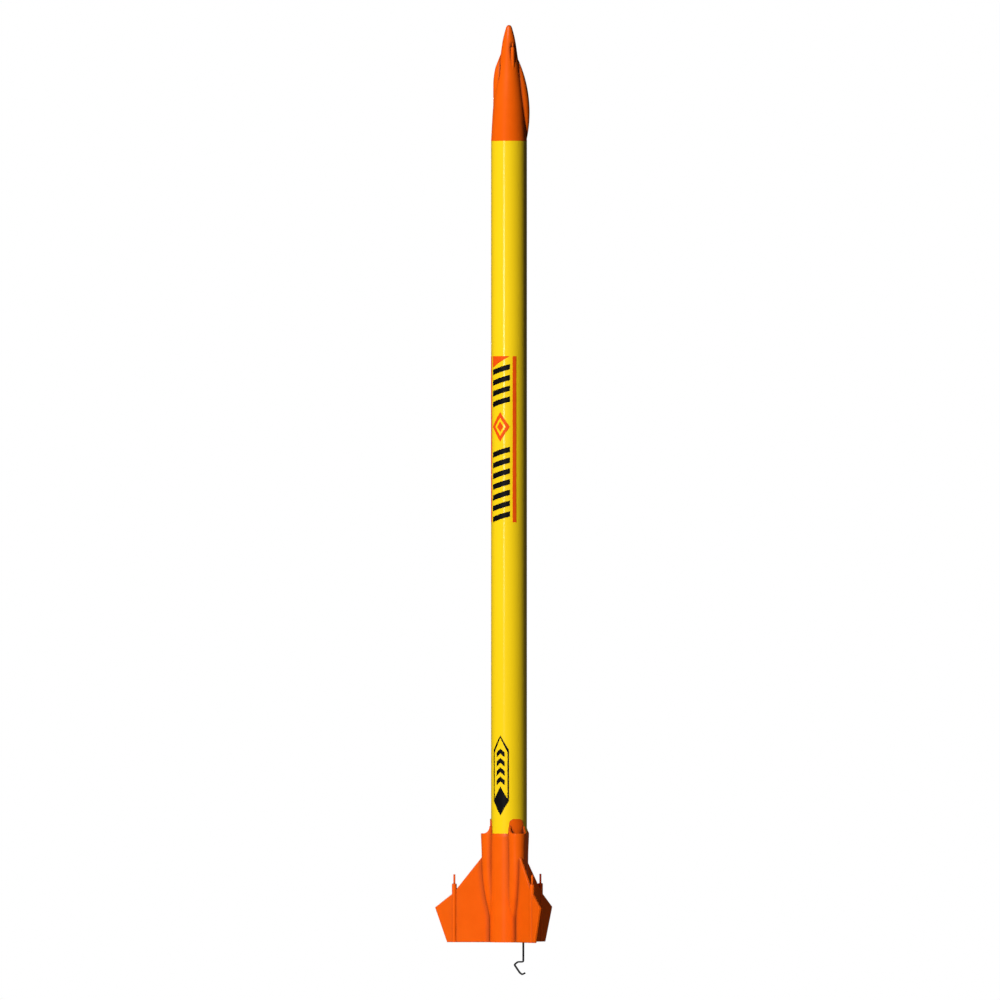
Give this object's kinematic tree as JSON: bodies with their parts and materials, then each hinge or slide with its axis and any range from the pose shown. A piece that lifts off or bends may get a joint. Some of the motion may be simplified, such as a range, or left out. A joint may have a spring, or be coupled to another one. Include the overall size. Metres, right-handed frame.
{
  "type": "model rocket",
  "caption": "Slim model rocket with a pull-off pointed nose, long paper body tube, finned printed tail can with intakes, sprung engine hook, launch lug and packed parachute.",
  "frame": {"origin": "on the rocket's axis at the mouth of the engine bay, the rear face of the fin can", "axes": "+Z along the rocket's axis to the nose tip; +X to the canopy and the engine hook; XZ is the plane of symmetry"},
  "size_m": [0.0773, 0.089, 0.6545],
  "materials": {
    "orange_print": "semi-gloss printed plastic with fine layer lines",
    "yellow_tube": "glossy coated paper, wound in a spiral",
    "kraft_paper": "matt wound kraft paper",
    "fibre_board": "matt pressed board",
    "clear_band": "smooth polyester band",
    "spring_steel": "blackened spring steel, slightly worn",
    "white_paper": "matt paper",
    "elastic_cord": "braided elastic",
    "canopy_film": "thin soft plastic film",
    "line_thread": "twisted thread",
    "black_film": "thin gloss film",
    "orange_film": "thin gloss film"
  },
  "bodies": {
    "airframe": {"fin_can": "orange_print", "body_tube": "yellow_tube", "motor_tube": "kraft_paper", "thrust_ring": "fibre_board", "centering_ring_front": "fibre_board", "centering_ring_rear": "fibre_board", "hook_retainer_band": "clear_band", "engine_hook_shank": "spring_steel", "launch_lug": "white_paper", "shock_cord_mount": "white_paper", "shock_cord_tail": "elastic_cord", "shock_cord_coil": "elastic_cord", "shock_cord_lead": "elastic_cord", "black_markings": "black_film", "orange_markings": "orange_film", "tail_emblem": "black_film"},
    "nose": {"nose_cone": "orange_print", "nose_base_cap": "orange_print", "parachute_canopy": "canopy_film", "shroud_lines": "line_thread"},
    "hook_clip": {"engine_hook_clip": "spring_steel"}
  },
  "joints": [
    {"name": "nose_slide", "type": "slide", "parent": "airframe", "child": "nose", "axis": [0, 0, 1], "range_m": [0, 0.15], "deforming": ["shock_cord_lead"]},
    {"name": "hook_flex", "type": "hinge", "parent": "airframe", "child": "hook_clip", "pos_m": [0.01045, 0, 0.003], "axis": [0, -1, 0], "range_deg": [0, 20], "stiffness_Nm_per_rad": 0.05}
  ]
}
